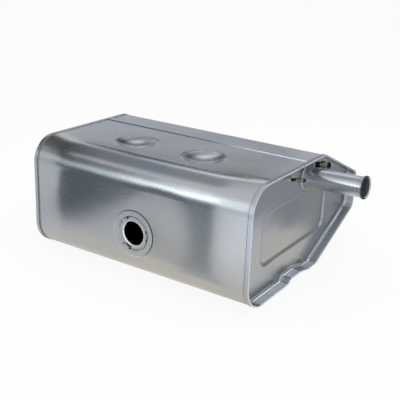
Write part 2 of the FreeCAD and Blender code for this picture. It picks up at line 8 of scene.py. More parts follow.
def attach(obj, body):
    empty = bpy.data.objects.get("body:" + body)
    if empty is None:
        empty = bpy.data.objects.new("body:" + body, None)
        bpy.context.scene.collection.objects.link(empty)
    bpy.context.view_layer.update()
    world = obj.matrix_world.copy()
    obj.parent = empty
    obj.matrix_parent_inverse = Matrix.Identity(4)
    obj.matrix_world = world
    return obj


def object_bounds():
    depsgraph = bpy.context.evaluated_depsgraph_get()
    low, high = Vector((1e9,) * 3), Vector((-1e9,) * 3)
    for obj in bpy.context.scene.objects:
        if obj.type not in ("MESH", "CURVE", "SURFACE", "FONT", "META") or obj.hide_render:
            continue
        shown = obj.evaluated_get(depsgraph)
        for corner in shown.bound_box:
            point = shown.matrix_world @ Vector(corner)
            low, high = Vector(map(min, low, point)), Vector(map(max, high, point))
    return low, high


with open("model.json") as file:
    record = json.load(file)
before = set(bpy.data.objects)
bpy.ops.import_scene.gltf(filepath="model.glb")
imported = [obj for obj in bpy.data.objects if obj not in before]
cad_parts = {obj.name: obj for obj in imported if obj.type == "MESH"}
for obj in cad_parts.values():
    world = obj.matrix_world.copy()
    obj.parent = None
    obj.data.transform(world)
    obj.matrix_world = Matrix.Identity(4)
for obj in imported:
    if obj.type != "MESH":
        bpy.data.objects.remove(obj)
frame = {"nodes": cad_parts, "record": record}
cadBounds = [list(corner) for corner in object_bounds()]
nodes = frame["nodes"]
mounts = {mount["name"]: mount for mount in frame["record"]["mounts"]}
scene = bpy.context.scene
scene.view_settings.view_transform = "Standard"
print("frame loaded:", len(nodes), "steel pieces")


def addNode(tree, kind, place, **settings):
    node = tree.nodes.new(kind)
    node.location = place
    for name, value in settings.items():
        setattr(node, name, value)
    return node


def fillSockets(node, values):
    # each input, by name or number, gets a plain value or a link from another node
    for key, value in values.items():
        if isinstance(value, bpy.types.NodeSocket):
            node.id_data.links.new(value, node.inputs[key])
        else:
            node.inputs[key].default_value = value


def reckon(tree, operation, place, *values):
    node = addNode(tree, "ShaderNodeMath", place, operation=operation)
    fillSockets(node, dict(enumerate(values)))
    return node.outputs[0]


def reckonVector(tree, operation, place, *values):
    node = addNode(tree, "ShaderNodeVectorMath", place, operation=operation)
    fillSockets(node, dict(enumerate(values)))
    return node.outputs["Value" if operation in ("LENGTH", "DISTANCE", "DOT_PRODUCT") else "Vector"]


def multiply(tree, first, second):
    return reckon(tree, "MULTIPLY", (-150, 500), first, second)


def mixColors(tree, place, share, first, second):
    node = addNode(tree, "ShaderNodeMix", place, data_type="RGBA")
    fillSockets(node, {"Factor": share, "A": first, "B": second})
    return node.outputs["Result"]


def scaleBetween(tree, source, low, high, toLow, toHigh, easing="LINEAR"):
    # change of a value between two limits
    node = addNode(tree, "ShaderNodeMapRange", (-300, 500), interpolation_type=easing)
    fillSockets(node, {"Value": source, "From Min": low, "From Max": high,
                       "To Min": toLow, "To Max": toHigh})
    return node.outputs["Result"]


def riseBetween(tree, source, low, high, top=1.0):
    return scaleBetween(tree, source, low, high, 0.0, top)


def fallBetween(tree, source, low, high):
    return scaleBetween(tree, source, low, high, 1.0, 0.0)


def bandMask(tree, source, inner, outer, soft):
    # 1 between two limits, 0 outside them
    rise = riseBetween(tree, source, inner - soft, inner + soft)
    fall = fallBetween(tree, source, outer - soft, outer + soft)
    return multiply(tree, rise, fall)


def ownCoords(tree, place):
    # coordinates that stay with the tank
    return addNode(tree, "ShaderNodeTexCoord", place).outputs["Object"]


def splitAxes(tree, spot, place):
    # a point's X, Y and Z
    axes = addNode(tree, "ShaderNodeSeparateXYZ", place)
    fillSockets(axes, {0: spot})
    return axes.outputs


def stretchedNoise(tree, place, scale, stretch, detail, roughness):
    # noise on the tank's own coordinates, drawn out along X by the stretch
    mapping = addNode(tree, "ShaderNodeMapping", (place[0] - 400, place[1]))
    fillSockets(mapping, {"Vector": ownCoords(tree, (place[0] - 600, place[1])), "Scale": stretch})
    noise = addNode(tree, "ShaderNodeTexNoise", place)
    fillSockets(noise, {"Vector": mapping.outputs["Vector"], "Scale": scale,
                        "Detail": detail, "Roughness": roughness})
    return noise.outputs["Fac"]


def newGroup(name, inputs, outputs):
    group = bpy.data.node_groups.new(name, "ShaderNodeTree")
    for label, kind, value in inputs:
        socket = group.interface.new_socket(label, in_out="INPUT", socket_type=kind)
        socket.default_value = value
    for label, kind in outputs:
        group.interface.new_socket(label, in_out="OUTPUT", socket_type=kind)
    start = addNode(group, "NodeGroupInput", (-900, 0))
    end = addNode(group, "NodeGroupOutput", (700, 0))
    return group, start.outputs, end


def makeSheetSurface():
    # how the sheet lies and is finished: ends drawn in at the seams, a hollow pressed round a
    # seat, slow waves, and the fine grain of the coating
    group, given, end = newGroup(
        "sheetSurface",
        [("Grain Scale", "NodeSocketFloat", 260.0), ("Grain Depth", "NodeSocketFloat", 0.0002),
         ("Wave Scale", "NodeSocketFloat", 5.0), ("Wave Depth", "NodeSocketFloat", 0.002),
         ("End Middle", "NodeSocketFloat", 0.0), ("End Start", "NodeSocketFloat", 0.2),
         ("End Blend", "NodeSocketFloat", 0.01), ("End Slope", "NodeSocketFloat", 0.0),
         ("Fade From", "NodeSocketFloat", 1.0), ("Fade To", "NodeSocketFloat", 2.0),
         ("Hollow Place", "NodeSocketVector", (0, 0, 0)),
         ("Hollow Stretch", "NodeSocketVector", (1, 1, 1)), ("Hollow Depth", "NodeSocketFloat", 0.0)],
        [("Normal", "NodeSocketVector")])
    waver = 0.05  # how far the waves shift the line from which an end is drawn in
    grain = stretchedNoise(group, (-300, 300), given["Grain Scale"],
                           stretch=(0.5, 1.0, 1.0), detail=3.5, roughness=0.65)
    wave = stretchedNoise(group, (-300, 0), given["Wave Scale"],
                          stretch=(0.75, 1.0, 1.2), detail=1.5, roughness=0.45)
    swell = reckon(group, "MULTIPLY", (-50, 0), wave, given["Wave Depth"])

    # each end: flat up to its start, then an even slope, with a round change between the two
    spot = ownCoords(group, (-900, -300))
    axes = splitAxes(group, spot, (-700, -300))
    offset = reckon(group, "SUBTRACT", (-600, -300), axes["X"], given["End Middle"])
    across = reckon(group, "ABSOLUTE", (-500, -300), offset)
    wobble = reckon(group, "MULTIPLY_ADD", (-400, -300), wave, waver, across)
    past = reckon(group, "SUBTRACT", (-300, -300), wobble, given["End Start"])
    blend = reckon(group, "MULTIPLY", (-300, -450), given["End Blend"], given["End Blend"])
    square = reckon(group, "MULTIPLY_ADD", (-200, -300), past, past, blend)
    root = reckon(group, "SQRT", (-100, -300), square)
    ramp = reckon(group, "ADD", (0, -300), root, past)
    steep = reckon(group, "MULTIPLY", (100, -300), ramp, given["End Slope"])
    fade = scaleBetween(group, axes["Y"], given["Fade From"], given["Fade To"], 1.0, 0.0, "SMOOTHSTEP")
    drop = reckon(group, "MULTIPLY", (200, -300), steep, fade)

    away = reckonVector(group, "SUBTRACT", (-550, -550), spot, given["Hollow Place"])
    shaped = reckonVector(group, "MULTIPLY", (-400, -550), away, given["Hollow Stretch"])
    reach = reckonVector(group, "LENGTH", (-250, -550), shaped)
    bowl = scaleBetween(group, reach, 0.0, 1.0, 1.0, 0.0, "SMOOTHSTEP")
    hollow = reckon(group, "MULTIPLY", (50, -550), bowl, given["Hollow Depth"])

    lower = reckon(group, "ADD", (200, -400), drop, hollow)
    height = reckon(group, "SUBTRACT", (300, -150), swell, lower)
    formBump = addNode(group, "ShaderNodeBump", (400, -100))
    fillSockets(formBump, {"Height": height, "Distance": 1.0})
    grainBump = addNode(group, "ShaderNodeBump", (550, 100))
    fillSockets(grainBump, {"Height": grain, "Distance": given["Grain Depth"],
                            "Normal": formBump.outputs["Normal"]})
    fillSockets(end, {"Normal": grainBump.outputs["Normal"]})
    return group


def makeCoatMottle():
    # cloudy tone of the metal coating, from large patches down to small flecks
    group, given, end = newGroup(
        "coatMottle",
        [("Dark", "NodeSocketColor", (0.3, 0.31, 0.33, 1)),
         ("Light", "NodeSocketColor", (0.4, 0.4, 0.4, 1)),
         ("Patch Scale", "NodeSocketFloat", 9.0), ("Fleck Scale", "NodeSocketFloat", 160.0),
         ("Fleck Share", "NodeSocketFloat", 0.3)],
        [("Color", "NodeSocketColor"), ("Mask", "NodeSocketFloat")])
    contrast = (0.3, 0.7)  # noise at which the tone is all dark and all light
    patch = stretchedNoise(group, (-300, 200), given["Patch Scale"],
                           stretch=(0.7, 1.0, 1.0), detail=4.0, roughness=0.55)
    fleck = stretchedNoise(group, (-300, -200), given["Fleck Scale"],
                           stretch=(0.45, 1.0, 1.0), detail=2.0, roughness=0.7)
    blend = addNode(group, "ShaderNodeMix", (0, 0), data_type="FLOAT")
    fillSockets(blend, {"Factor": given["Fleck Share"], "A": patch, "B": fleck})
    spread = riseBetween(group, blend.outputs["Result"], *contrast)
    tone = mixColors(group, (450, 0), spread, given["Dark"], given["Light"])
    fillSockets(end, {"Color": tone, "Mask": spread})
    return group


def makeAxisPlace():
    # how far a point is from an axis, how far along it, and how far round towards one side
    group, given, end = newGroup(
        "axisPlace",
        [("Point", "NodeSocketVector", (0, 0, 0)), ("Way", "NodeSocketVector", (1, 0, 0)),
         ("Side", "NodeSocketVector", (0, 0, 1))],
        [("Away", "NodeSocketFloat"), ("Along", "NodeSocketFloat"), ("Round", "NodeSocketFloat")])
    reach = reckonVector(group, "SUBTRACT", (-700, 100), ownCoords(group, (-900, 200)), given["Point"])
    along = reckonVector(group, "DOT_PRODUCT", (-500, 0), reach, given["Way"])
    foot = addNode(group, "ShaderNodeVectorMath", (-300, 0), operation="SCALE")
    fillSockets(foot, {0: given["Way"], "Scale": along})
    out = reckonVector(group, "SUBTRACT", (-100, 100), reach, foot.outputs["Vector"])
    away = reckonVector(group, "LENGTH", (100, 200), out)
    unit = reckonVector(group, "NORMALIZE", (100, 0), out)
    around = reckonVector(group, "DOT_PRODUCT", (300, 0), unit, given["Side"])
    fillSockets(end, {"Away": away, "Along": along, "Round": around})
    return group


sheetSurface = makeSheetSurface()
coatMottle = makeCoatMottle()
axisPlace = makeAxisPlace()
print("sheet, mottle and axis groups built")

flatForm = {
    "endMiddle": 0.0, "endStart": 0.2, "endBlend": 0.01, "endSlope": 0.0, "fade": (1.0, 2.0),
    "hollowPlace": (0, 0, 0), "hollowStretch": (1, 1, 1), "hollowDepth": 0.0,
}


def makeSteel(name, look, form=flatForm):
    material = bpy.data.materials.new(name)
    material.use_nodes = True
    tree = material.node_tree
    mottle = addNode(tree, "ShaderNodeGroup", (-600, 200), node_tree=coatMottle)
    fillSockets(mottle, {"Dark": (*look["dark"], 1), "Light": (*look["light"], 1),
                         "Patch Scale": look["patchScale"], "Fleck Scale": look["fleckScale"],
                         "Fleck Share": look["fleckShare"]})
    surface = addNode(tree, "ShaderNodeGroup", (-600, -200), node_tree=sheetSurface)
    fillSockets(surface, {"Grain Scale": look["grainScale"], "Grain Depth": look["grainDepth"],
                          "Wave Scale": look["waveScale"], "Wave Depth": look["waveDepth"],
                          "End Middle": form["endMiddle"], "End Start": form["endStart"],
                          "End Blend": form["endBlend"], "End Slope": form["endSlope"],
                          "Fade From": form["fade"][0], "Fade To": form["fade"][1],
                          "Hollow Place": form["hollowPlace"],
                          "Hollow Stretch": form["hollowStretch"], "Hollow Depth": form["hollowDepth"]})
    sheen = scaleBetween(tree, mottle.outputs["Mask"], 0.0, 1.0, *look["roughness"])
    fillSockets(tree.nodes["Principled BSDF"], {
        "Base Color": mottle.outputs["Color"], "Metallic": look["metallic"],
        "Roughness": sheen, "Normal": surface.outputs["Normal"]})
    return material


def placeOnAxis(tree, mount, side=(0, 0, 1)):
    node = addNode(tree, "ShaderNodeGroup", (-600, 700), node_tree=axisPlace)
    fillSockets(node, {"Point": mount["pos_m"], "Way": mount["axis"], "Side": side})
    return node.outputs


def paintToneLightAndShade(material, mask, color):
    # lays a tone over the material's colour where the mask says: real tones, and painted light and shade
    tree = material.node_tree
    base = tree.nodes["Principled BSDF"].inputs["Base Color"]
    under = base.links[0].from_socket
    tree.links.new(mixColors(tree, (-100, 350), mask, under, (*color, 1)), base)


def dress(material, *nodeNames):
    for nodeName in nodeNames:
        for slot in nodes[nodeName].material_slots:
            slot.material = material


wrapperLook = {
    "dark": (0.37, 0.405, 0.455), "light": (0.495, 0.485, 0.465), "metallic": 1.0,
    "patchScale": 5.0, "fleckScale": 330.0, "fleckShare": 0.24,
    "grainScale": 280.0, "grainDepth": 0.00005, "waveScale": 5.0, "waveDepth": 0.006,
    "roughness": (0.24, 0.31),
}
wrapperForm = {  # metres; the ends are drawn in at the front face and flat past the fade along Y
    "endMiddle": -0.0075, "endStart": 0.2225, "endBlend": 0.018, "endSlope": 0.11,
    "fade": (-0.119, -0.03),
    "hollowPlace": (0.07, -0.12, 0.12), "hollowStretch": (10.0, 1.0, 9.5), "hollowDepth": 0.005,
}
wrapperSteel = makeSteel("coatedWrapperSteel", wrapperLook, wrapperForm)
dress(wrapperSteel, "tank_body")

seamLook = {  # half is the line's half width, at full tone and where it ends; the dark tone is solder with painted shade, the bright one a painted highlight
    "place": 0.1208, "half": (0.00036, 0.0006), "height": (0.25, 0.251), "turn": (0.03, 0.16),
    "dark": (0.20, 0.205, 0.22), "paintedSeamHighlight": (0.66, 0.68, 0.72),
}


def markSeam(material, look):
    # dark line along the edge of the lapped seam, solder with painted shade in its groove, giving way to a
    # painted highlight towards the neck end
    tree = material.node_tree
    axes = splitAxes(tree, ownCoords(tree, (-1200, 600)), (-1000, 600))
    off = reckon(tree, "SUBTRACT", (-800, 600), axes["Y"], look["place"])
    near = fallBetween(tree, reckon(tree, "ABSOLUTE", (-650, 600), off), *look["half"])
    line = multiply(tree, near, riseBetween(tree, axes["Z"], *look["height"]))
    darkStretch = fallBetween(tree, axes["X"], *look["turn"])
    paintedSeamHighlight = riseBetween(tree, axes["X"], *look["turn"])
    paintToneLightAndShade(material, multiply(tree, line, darkStretch), look["dark"])
    paintToneLightAndShade(material, multiply(tree, line, paintedSeamHighlight), look["paintedSeamHighlight"])


markSeam(wrapperSteel, seamLook)

# the colour is painted shade in the gap at the hem's edge
hemLook = {"line": (0.2686, 0.2711), "soft": 0.0002, "color": (0.20, 0.205, 0.22)}


def markHem(material, look):
    # painted shade in the gap along the free edge of the right cap's folded hem
    tree = material.node_tree
    axes = splitAxes(tree, ownCoords(tree, (-1200, 1000)), (-1000, 1000))
    paintToneLightAndShade(material, bandMask(tree, axes["X"], *look["line"], look["soft"]), look["color"])


markHem(wrapperSteel, hemLook)

# the first colour is painted shade on the dishes' steep walls, the second a painted highlight on their
# floors
dishLook = {
    "centres": (-0.0915, 0.0845), "back": 0.0075, "top": 0.252,
    "wall": (0.026, 0.044), "soft": 0.006, "sides": (0.010, 0.036), "color": (0.17, 0.175, 0.19),
    "floor": (0.012, 0.034), "paintedDishHighlight": (0.70, 0.70, 0.705),
}


def markDishes(material, look):
    # painted shade on the steep sides of both dishes and a painted highlight on their floors
    tree = material.node_tree
    spot = ownCoords(tree, (-1200, 1300))
    for across in look["centres"]:
        centre = (across, look["back"], look["top"])
        away = reckonVector(tree, "DISTANCE", (-1000, 1300), spot, centre)
        offset = reckonVector(tree, "SUBTRACT", (-1000, 1450), spot, centre)
        aside = reckon(tree, "ABSOLUTE", (-700, 1450), splitAxes(tree, offset, (-850, 1450))["X"])
        wall = bandMask(tree, away, *look["wall"], look["soft"])
        steep = riseBetween(tree, aside, *look["sides"])
        paintToneLightAndShade(material, multiply(tree, wall, steep), look["color"])
        paintToneLightAndShade(material, fallBetween(tree, away, *look["floor"]), look["paintedDishHighlight"])


markDishes(wrapperSteel, dishLook)

seat = mounts["sender_seat"]
# both colours are painted shade: behind the ring's slots and in the gap along the ring's edge
seatLook = {
    "hidden": 0.0488, "edge": 0.0504, "gap": 0.0011, "soft": 0.0003, "depth": 0.002,
    "side": (0.72, 0.0, 0.69), "turn": (-0.45, 0.15), "shadowShare": 0.9,
    "under": (0.03, 0.03, 0.035), "shadow": (0.05, 0.055, 0.06),
}


def markSeat(material, look):
    # painted shade on the sheet behind the ring's slots, and painted shade in the gap along the ring's
    # edge, strongest towards one side
    tree = material.node_tree
    place = placeOnAxis(tree, seat, look["side"])
    behind = fallBetween(tree, place["Away"], look["hidden"] - look["soft"], look["hidden"])
    front = riseBetween(tree, place["Along"], 0.0, look["depth"])
    paintToneLightAndShade(material, multiply(tree, behind, front), look["under"])
    gap = bandMask(tree, place["Away"], look["edge"], look["edge"] + look["gap"], look["soft"])
    shadedSide = riseBetween(tree, place["Round"], *look["turn"], look["shadowShare"])
    paintToneLightAndShade(material, multiply(tree, multiply(tree, gap, shadedSide), front), look["shadow"])


markSeat(wrapperSteel, seatLook)

capLook = {
    "dark": (0.36, 0.375, 0.40), "light": (0.43, 0.43, 0.43), "metallic": 1.0,
    "patchScale": 6.0, "fleckScale": 330.0, "fleckShare": 0.05,
    "grainScale": 280.0, "grainDepth": 0.000035, "waveScale": 7.0, "waveDepth": 0.003,
    "roughness": (0.24, 0.33),
}
capForm = {**flatForm, "endSlope": 0.10}
capSteel = makeSteel("pressedCapSteel", capLook, capForm)
dress(capSteel, "end_cap_right", "end_cap_left")

# the dark colour is painted shade in the panel's front fold, the fold colour a painted highlight on the
# hem
panelLook = {
    "centre": (0.0, 0.117, 0.1205), "inner": (0.0, 0.125, 0.0345), "radius": 0.024, "half": 0.002,
    "soft": 0.0006, "fade": (-0.02, 0.04), "color": (0.17, 0.175, 0.18),
    "border": (0.024, 0.036), "borderShare": 0.5, "borderColor": (0.40, 0.445, 0.50),
    "fold": (0.2789, 0.2806), "foldSoft": 0.0002, "foldHighlight": (0.64, 0.67, 0.71),
}


def markPanel(material, look):
    # painted shade in the front fold of the pressed panel, a bluer border round it and a painted highlight
    # along the hem's fold
    tree = material.node_tree
    spot = ownCoords(tree, (-1500, 900))
    flat = reckonVector(tree, "MULTIPLY", (-1300, 900), spot, (0, 1, 1))
    offset = reckonVector(tree, "SUBTRACT", (-1100, 900), flat, look["centre"])
    aside = reckonVector(tree, "ABSOLUTE", (-920, 900), offset)
    past = reckonVector(tree, "SUBTRACT", (-740, 900), aside, look["inner"])
    reach = reckonVector(tree, "MAXIMUM", (-560, 900), past, (0, 0, 0))
    away = reckonVector(tree, "LENGTH", (-350, 900), reach)
    axes = splitAxes(tree, spot, (-1100, 1100))
    line = bandMask(tree, away, look["radius"] - look["half"], look["radius"] + look["half"], look["soft"])
    front = fallBetween(tree, axes["Y"], *look["fade"])
    paintToneLightAndShade(material, riseBetween(tree, away, *look["border"], look["borderShare"]), look["borderColor"])
    paintToneLightAndShade(material, multiply(tree, line, front), look["color"])
    side = reckon(tree, "ABSOLUTE", (-900, 1100), axes["X"])
    paintToneLightAndShade(material, bandMask(tree, side, *look["fold"], look["foldSoft"]), look["foldHighlight"])


markPanel(capSteel, panelLook)

ringLook = {
    "dark": (0.35, 0.375, 0.41), "light": (0.45, 0.475, 0.50), "metallic": 1.0,
    "patchScale": 30.0, "fleckScale": 300.0, "fleckShare": 0.3,
    "grainScale": 250.0, "grainDepth": 0.0001, "waveScale": 20.0, "waveDepth": 0.0008,
    "roughness": (0.20, 0.28),
}
ringSteel = makeSteel("stampedRingSteel", ringLook)
dress(ringSteel, "sender_ring")

ringMarks = {  # radii, and how far round towards the seat's shadowed side; the dark colour is painted shade and the bright one a painted highlight
    "foot": (0.0378, 0.0385), "lip": (0.0278, 0.0283), "rim": 0.0497, "soft": 0.0002,
    "rimHighlightSide": (-0.5, -0.1), "rimShadeSide": (-0.3, 0.2),
    "line": (0.10, 0.105, 0.115), "bright": (0.86, 0.88, 0.90),
}


def markRing(material, look):
    # painted shade at the foot of the collar, a painted highlight on the inner lip, and on the rim a
    # painted highlight on one side and painted shade on the other
    tree = material.node_tree
    place = placeOnAxis(tree, seat, seatLook["side"])
    paintToneLightAndShade(material, bandMask(tree, place["Away"], *look["foot"], look["soft"]), look["line"])
    paintToneLightAndShade(material, fallBetween(tree, place["Away"], *look["lip"]), look["bright"])
    rim = riseBetween(tree, place["Away"], look["rim"] - look["soft"], look["rim"] + look["soft"])
    near = fallBetween(tree, place["Round"], *look["rimHighlightSide"])
    far = riseBetween(tree, place["Round"], *look["rimShadeSide"])
    paintToneLightAndShade(material, multiply(tree, rim, near), look["bright"])
    paintToneLightAndShade(material, multiply(tree, rim, far), look["line"])


markRing(ringSteel, ringMarks)

neckLook = {
    "dark": (0.45, 0.475, 0.505), "light": (0.54, 0.56, 0.585), "metallic": 1.0,
    "patchScale": 24.0, "fleckScale": 260.0, "fleckShare": 0.3,
    "grainScale": 220.0, "grainDepth": 0.00004, "waveScale": 14.0, "waveDepth": 0.0003,
    "roughness": (0.21, 0.27),
}
neckSteel = makeSteel("zincNeckSteel", neckLook)
dress(neckSteel, "filler_neck")

# the pale colour is a painted reflection inside the bore, the dark one painted shade at the mouth and
# behind the roll
neckMarks = {
    "bore": (0.0209, 0.0210), "end": (0.0742, 0.0744), "roll": (0.0658, 0.0665), "soft": 0.0002,
    "inside": (0.86, 0.95, 1.0), "edge": (0.06, 0.065, 0.07),
}


def markNeck(material, look):
    # painted reflection inside the bore, and painted shade round the mouth and behind the rolled end
    tree = material.node_tree
    place = placeOnAxis(tree, mounts["neck_bore"])
    paintToneLightAndShade(material, fallBetween(tree, place["Away"], *look["bore"]), look["inside"])
    outside = riseBetween(tree, place["Away"], *look["bore"])
    mouth = riseBetween(tree, place["Along"], *look["end"])
    paintToneLightAndShade(material, multiply(tree, outside, mouth), look["edge"])
    paintToneLightAndShade(material, bandMask(tree, place["Along"], *look["roll"], look["soft"]), look["edge"])


markNeck(neckSteel, neckMarks)

nippleLook = {
    "dark": (0.10, 0.095, 0.085), "light": (0.28, 0.265, 0.235), "metallic": 1.0,
    "patchScale": 60.0, "fleckScale": 400.0, "fleckShare": 0.3,
    "grainScale": 400.0, "grainDepth": 0.00006, "waveScale": 40.0, "waveDepth": 0.0002,
    "roughness": (0.24, 0.34),
}
nippleMarks = {  # shank and crest are radii, boss is where it ends along X
    "vent_nipple_front": {"mount": "front_nipple_bore",
                          "shank": 0.0041, "crest": 0.0052, "boss": 0.2618},
    "vent_nipple_rear": {"mount": "rear_nipple_bore",
                         "shank": 0.0080, "crest": 0.0093, "boss": 0.2612},
}
# painted shade in the grooves, crests tan from a bronze tone with a painted highlight, and a brighter boss
nippleShadeAndTones = {
    "groove": (0.035, 0.035, 0.04), "crest": (0.42, 0.35, 0.26), "boss": (0.60, 0.64, 0.68),
    "soft": 0.0006, "crestSoft": 0.0003,
}


def markNipple(material, look, shadeAndTones):
    # painted shade between the barbs, tan crests from a bronze tone with a painted highlight, and a
    # brighter boss at the foot
    tree = material.node_tree
    away = placeOnAxis(tree, mounts[look["mount"]])["Away"]
    axes = splitAxes(tree, ownCoords(tree, (-800, 900)), (-600, 900))
    groove = fallBetween(tree, away, look["shank"], look["shank"] + shadeAndTones["soft"])
    paintToneLightAndShade(material, groove, shadeAndTones["groove"])
    crest = riseBetween(tree, away, look["crest"] - shadeAndTones["crestSoft"], look["crest"])
    paintToneLightAndShade(material, crest, shadeAndTones["crest"])
    foot = fallBetween(tree, axes["X"], look["boss"], look["boss"] + shadeAndTones["soft"])
    paintToneLightAndShade(material, foot, shadeAndTones["boss"])


for nippleName, marks in nippleMarks.items():
    nippleSteel = makeSteel(nippleName + "_plating", nippleLook)
    markNipple(nippleSteel, marks, nippleShadeAndTones)
    dress(nippleSteel, nippleName)

baffleLook = {
    "dark": (0.30, 0.30, 0.31), "light": (0.38, 0.38, 0.385), "metallic": 1.0,
    "patchScale": 10.0, "fleckScale": 200.0, "fleckShare": 0.3,
    "grainScale": 130.0, "grainDepth": 0.0002, "waveScale": 6.0, "waveDepth": 0.001,
    "roughness": (0.40, 0.50),
}
dress(makeSteel("innerBaffleSteel", baffleLook), "baffle_left", "baffle_right")
print("steel finishes set")

beadLook = {
    "dark": (0.26, 0.25, 0.24), "light": (0.48, 0.47, 0.45), "metallic": 1.0,
    "patchScale": 70.0, "fleckScale": 500.0, "fleckShare": 0.4,
    "grainScale": 500.0, "grainDepth": 0.0001, "waveScale": 60.0, "waveDepth": 0.0004,
    "roughness": (0.28, 0.45),
}
capFace = 0.256  # outer face of the right end cap
beadSway = {"share": 0.5, "waves": 3, "start": 1.0}  # slow unevenness under the ripples
beads = {  # lift is how far out from the cap's face the bead's middle lies
    "neck_braze": {"mount": "neck_bore", "axis": mounts["neck_bore"]["axis"], "lift": 0.0064,
                   "radius": 0.0227, "thickness": 0.0013, "unevenness": 0.10,
                   "ripples": 34, "steps": 204, "sides": 10, "slot": "neck_steel"},
    "front_nipple_braze": {"mount": "front_nipple_bore", "axis": (1, 0, 0), "lift": 0.0,
                           "radius": 0.0072, "thickness": 0.0012, "unevenness": 0.12,
                           "ripples": 14, "steps": 96, "sides": 8, "slot": "nipple_steel"},
    "rear_nipple_braze": {"mount": "rear_nipple_bore", "axis": (1, 0, 0), "lift": 0.0004,
                          "radius": 0.0096, "thickness": 0.0017, "unevenness": 0.12,
                          "ripples": 18, "steps": 120, "sides": 8, "slot": "nipple_steel"},
}


def axisAt(mount, acrossX):
    # point where a mount's axis crosses the plane X = acrossX
    start = Vector(mount["pos_m"])
    way = Vector(mount["axis"])
    return start + way * ((acrossX - start.x) / way.x)


def makeBead(name, bead, material):
    # rippled ring of weld or braze metal laid round a joint
    mesh = bpy.data.meshes.new(name)
    work = bmesh.new()
    centre = axisAt(mounts[bead["mount"]], capFace + bead["lift"])
    tilt = Vector(bead["axis"]).to_track_quat("Z", "Y").to_matrix()
    rings = []
    for step in range(bead["steps"]):
        angle = 2 * math.pi * step / bead["steps"]
        sway = beadSway["share"] * math.sin(angle * beadSway["waves"] + beadSway["start"])
        ripple = math.sin(angle * bead["ripples"]) + sway
        thick = bead["thickness"] * (1 + bead["unevenness"] * ripple)
        outward = Vector((math.cos(angle), math.sin(angle), 0))
        ring = []
        for side in range(bead["sides"]):
            turn = 2 * math.pi * side / bead["sides"]
            spot = outward * (bead["radius"] + thick * math.cos(turn))
            spot += Vector((0, 0, thick * math.sin(turn)))
            ring.append(work.verts.new(centre + tilt @ spot))
        rings.append(ring)
    for step, ring in enumerate(rings):
        following = rings[(step + 1) % len(rings)]
        for side in range(bead["sides"]):
            after = (side + 1) % bead["sides"]
            face = work.faces.new((ring[side], following[side], following[after], ring[after]))
            face.smooth = True
    bmesh.ops.recalc_face_normals(work, faces=work.faces)
    work.to_mesh(mesh)
    work.free()
    mesh.materials.append(material)
    piece = bpy.data.objects.new(name, mesh)
    scene.collection.objects.link(piece)
    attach(piece, "root")


beadSteel = makeSteel("brazedJointMetal", beadLook)
for beadName, bead in beads.items():
    makeBead(beadName, bead, beadSteel)
print("joint beads laid")

cornerTurns = ((-1, -1), (1, -1), (1, 1), (-1, 1))


def makeStage(name, corners):
    mesh = bpy.data.meshes.new(name)
    mesh.from_pydata(corners, [], [tuple(range(len(corners)))])
    piece = bpy.data.objects.new(name, mesh)
    scene.collection.objects.link(piece)
    return piece


def rayKinds(tree):
    return addNode(tree, "ShaderNodeLightPath", (-900, 400)).outputs


def seenShare(tree, rays):
    # 1 for what the camera, a polished surface or a clear one shows of a backdrop
    seen = reckon(tree, "MAXIMUM", (-700, 400), rays["Is Camera Ray"], rays["Is Glossy Ray"])
    return reckon(tree, "MAXIMUM", (-500, 400), seen, rays["Is Transmission Ray"])


floorLook = {
    "color": (0.86, 0.86, 0.87), "roughness": 0.9, "whiteShare": 0.9, "half": 15.0, "gap": 0.0002,
    "middle": (0.0, 0.13, 0.0), "near": 0.34, "far": 0.58,
    "nearTint": (1.0, 0.955, 0.87), "farTint": (0.95, 0.965, 1.0),
}


def makeFloorMaterial(look):
    # pale floor that meets the white background and keeps a little of the tank's shadow; what
    # polished metal shows of it is warmer close to the tank and bluer further out
    material = bpy.data.materials.new("paleFloor")
    material.use_nodes = True
    tree = material.node_tree
    shader = tree.nodes["Principled BSDF"]
    fillSockets(shader, {"Base Color": (*look["color"], 1), "Roughness": look["roughness"],
                         "Specular IOR Level": 0.0})
    rays = rayKinds(tree)
    away = reckonVector(tree, "DISTANCE", (-900, -300), ownCoords(tree, (-1100, -300)), look["middle"])
    spread = scaleBetween(tree, away, look["near"], look["far"], 0.0, 1.0, "SMOOTHSTEP")
    warmth = mixColors(tree, (-500, -300), spread, (*look["nearTint"], 1), (*look["farTint"], 1))
    tint = mixColors(tree, (-300, -300), rays["Is Glossy Ray"], (1, 1, 1, 1), warmth)
    glow = addNode(tree, "ShaderNodeEmission", (0, -300))
    fillSockets(glow, {"Color": tint})
    share = reckon(tree, "MULTIPLY", (0, 300), seenShare(tree, rays), look["whiteShare"])
    blend = addNode(tree, "ShaderNodeMixShader", (300, 0))
    fillSockets(blend, {"Fac": share, 1: shader.outputs[0], 2: glow.outputs[0]})
    fillSockets(tree.nodes["Material Output"], {"Surface": blend.outputs[0]})
    return material


floorHeight = cadBounds[0][2] - floorLook["gap"]
floorCorners = [(across * floorLook["half"], back * floorLook["half"], floorHeight)
                for across, back in cornerTurns]
floor = makeStage("studio_floor", floorCorners)
floor.data.materials.append(makeFloorMaterial(floorLook))

worldLook = {"color": (1.0, 1.0, 1.0), "seen": 1.0, "fill": 0.75}
world = bpy.data.worlds.new("studioAir")
scene.world = world
world.use_nodes = True
air = world.node_tree
airSeen = seenShare(air, rayKinds(air))
airStrength = scaleBetween(air, airSeen, 0.0, 1.0, worldLook["fill"], worldLook["seen"])
fillSockets(air.nodes["Background"], {"Color": (*worldLook["color"], 1), "Strength": airStrength})


